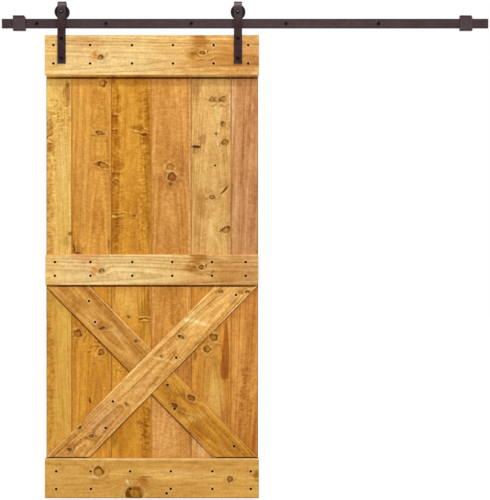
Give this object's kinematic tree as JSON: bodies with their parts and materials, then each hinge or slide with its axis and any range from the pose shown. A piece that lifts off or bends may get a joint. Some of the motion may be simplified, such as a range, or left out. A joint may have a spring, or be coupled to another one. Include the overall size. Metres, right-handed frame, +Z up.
{
  "type": "sliding barn door",
  "caption": "Knotty pine plank door with a lower X brace, hung by bent strap hangers on grooved wheels that roll along a flat wall track with end stops.",
  "frame": {"origin": "on the wall plane, at the track's centre line, halfway between its first and last wall bolts", "axes": "+Z up, +Y into the wall, so the door's face looks towards -Y, and +X along the track to the right"},
  "size_m": [2.245, 0.1047, 2.2901],
  "materials": {
    "pine_yellow": "satin",
    "pine_amber": "satin",
    "pine_brown": "satin",
    "pine_tan": "satin",
    "pine_rose": "satin",
    "pine_rail": "satin",
    "pine_low_rail": "satin",
    "pine_brace": "satin",
    "pine_dark_brace": "satin",
    "bronze_coat": "satin",
    "black_steel": "satin",
    "black_nylon": "satin",
    "bearing_steel": "polished"
  },
  "bodies": {
    "track": {"track": "bronze_coat", "wall_spacer_1": "bronze_coat", "wall_spacer_2": "bronze_coat", "wall_spacer_3": "bronze_coat", "wall_spacer_4": "bronze_coat", "wall_spacer_5": "bronze_coat", "wall_bolt_1": "black_steel", "wall_bolt_2": "black_steel", "wall_bolt_3": "black_steel", "wall_bolt_4": "black_steel", "wall_bolt_5": "black_steel", "left_stop": "bronze_coat", "right_stop": "bronze_coat", "stop_set_screws": "black_steel"},
    "door": {"plank_1": "pine_yellow", "plank_2": "pine_amber", "plank_3": "pine_brown", "plank_4": "pine_tan", "plank_5": "pine_tan", "plank_6": "pine_rose", "top_rail": "pine_rail", "middle_rail": "pine_rail", "bottom_rail": "pine_low_rail", "long_brace": "pine_brace", "upper_brace": "pine_dark_brace", "lower_brace": "pine_dark_brace", "top_rail_screws": "black_steel", "middle_rail_screws": "black_steel", "bottom_rail_screws": "black_steel", "brace_screws": "black_steel", "left_strap": "bronze_coat", "left_strap_bolts": "black_steel", "left_sleeve_nuts": "black_steel", "left_axle_bolt": "black_steel", "left_axle_nut": "black_steel", "left_bushes": "bearing_steel", "left_inner_ring": "bearing_steel", "right_strap": "bronze_coat", "right_strap_bolts": "black_steel", "right_sleeve_nuts": "black_steel", "right_axle_bolt": "black_steel", "right_axle_nut": "black_steel", "right_bushes": "bearing_steel", "right_inner_ring": "bearing_steel"},
    "left_wheel_set": {"left_wheel": "black_nylon", "left_outer_ring": "bearing_steel", "left_shields": "bearing_steel"},
    "left_ball_set": {"left_balls": "bearing_steel", "left_cage": "bearing_steel"},
    "right_wheel_set": {"right_wheel": "black_nylon", "right_outer_ring": "bearing_steel", "right_shields": "bearing_steel"},
    "right_ball_set": {"right_balls": "bearing_steel", "right_cage": "bearing_steel"}
  },
  "joints": [
    {"name": "door_slide", "type": "slide", "parent": "track", "child": "door", "axis": [1, 0, 0], "range_m": [-0.143, 0.992]},
    {"name": "left_wheel_spin", "type": "hinge", "parent": "door", "child": "left_wheel_set", "pos_m": [-0.67141, -0.035, 0.053], "axis": [0, 1, 0], "continuous": true},
    {"name": "left_ball_spin", "type": "hinge", "parent": "door", "child": "left_ball_set", "pos_m": [-0.67141, -0.035, 0.053], "axis": [0, 1, 0], "continuous": true},
    {"name": "right_wheel_spin", "type": "hinge", "parent": "door", "child": "right_wheel_set", "pos_m": [0.14059, -0.035, 0.053], "axis": [0, 1, 0], "continuous": true},
    {"name": "right_ball_spin", "type": "hinge", "parent": "door", "child": "right_ball_set", "pos_m": [0.14059, -0.035, 0.053], "axis": [0, 1, 0], "continuous": true}
  ],
  "couplings": [
    {"joint": "left_wheel_spin", "follows": "door_slide", "rad_per_m": 32.258},
    {"joint": "left_ball_spin", "follows": "door_slide", "rad_per_m": 20.394},
    {"joint": "right_wheel_spin", "follows": "door_slide", "rad_per_m": 32.258},
    {"joint": "right_ball_spin", "follows": "door_slide", "rad_per_m": 20.394}
  ]
}
